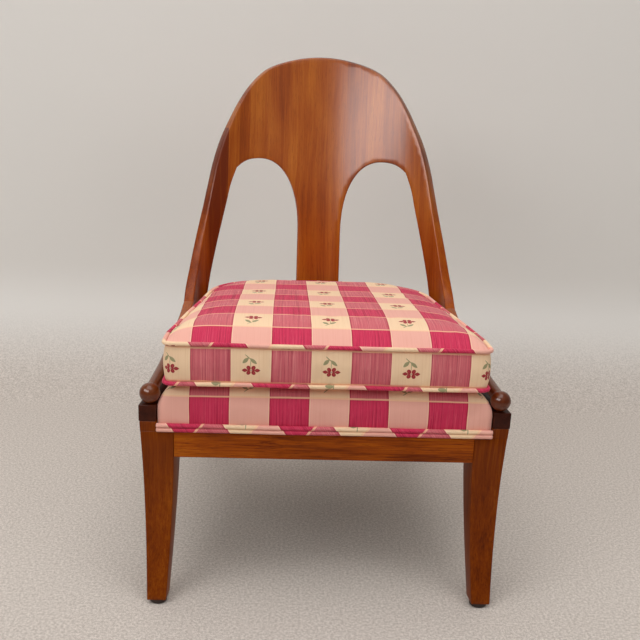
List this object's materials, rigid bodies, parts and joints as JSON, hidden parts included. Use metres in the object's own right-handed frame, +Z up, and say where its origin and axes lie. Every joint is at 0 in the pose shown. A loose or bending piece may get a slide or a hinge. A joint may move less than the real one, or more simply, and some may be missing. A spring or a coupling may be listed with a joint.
{
  "type": "upholstered spoon back lounge chair",
  "caption": "Low wooden lounge chair with a moulded barrel back on a centre splat, ball-ended arms, sabre legs, padded deck and a loose piped box cushion.",
  "frame": {"origin": "centre of the footprint box on the floor", "axes": "+Z up, -Y towards the front of the seat, +X to the right as the picture shows it"},
  "size_m": [0.61, 0.7024, 0.879],
  "materials": {
    "back_wood": "satin lacquer over red-brown walnut veneer, fine upright grain",
    "frame_wood": "satin lacquer over stained walnut",
    "rail_wood": "satin lacquer over dark stained walnut",
    "inner_wood": "bare pale hardwood",
    "screw_steel": "bright zinc plated steel",
    "glide_plastic": "dark brown moulded plastic",
    "jute_webbing": "plain woven jute webbing",
    "jute_hessian": "open plain-woven hessian",
    "foam": "open-cell foam",
    "check_fabric": "slubbed silk-like woven check in rose, magenta and cream with small flower sprigs",
    "bias_fabric": "the same check cut on the bias over cord",
    "black_cloth": "thin non-woven cloth"
  },
  "bodies": {
    "frame": {"back_shell": "back_wood", "left_arm": "back_wood", "right_arm": "back_wood", "front_leg_left": "frame_wood", "front_leg_right": "frame_wood", "rear_leg_left": "frame_wood", "rear_leg_right": "frame_wood", "front_rail": "frame_wood", "rear_rail": "frame_wood", "side_rail_left": "rail_wood", "side_rail_right": "rail_wood", "corner_blocks": "inner_wood", "block_screws": "screw_steel", "deck_screws": "screw_steel", "rail_dowels": "inner_wood", "tongue_dowels": "inner_wood", "stile_dowels": "inner_wood", "arm_dowels": "inner_wood", "ball_dowels": "inner_wood", "splat_screws": "screw_steel", "splat_plugs": "rail_wood", "glides": "glide_plastic", "glide_pins": "screw_steel", "deck_front_bar": "inner_wood", "deck_rear_bar": "inner_wood", "deck_side_bars": "inner_wood", "webbing_across": "jute_webbing", "webbing_along": "jute_webbing", "deck_hessian": "jute_hessian", "deck_pad": "foam", "deck_cover": "check_fabric", "deck_welt_upper": "bias_fabric", "deck_welt_lower": "bias_fabric", "dust_cover": "black_cloth"},
    "cushion": {"cushion_core": "foam", "cushion_top_panel": "check_fabric", "cushion_boxing": "check_fabric", "cushion_bottom_panel": "check_fabric", "cushion_piping_top": "bias_fabric", "cushion_piping_bottom": "bias_fabric"}
  },
  "joints": [
    {"name": "cushion_lift", "type": "slide", "parent": "frame", "child": "cushion", "axis": [0, 0, 1], "range_m": [0, 0.53]}
  ]
}
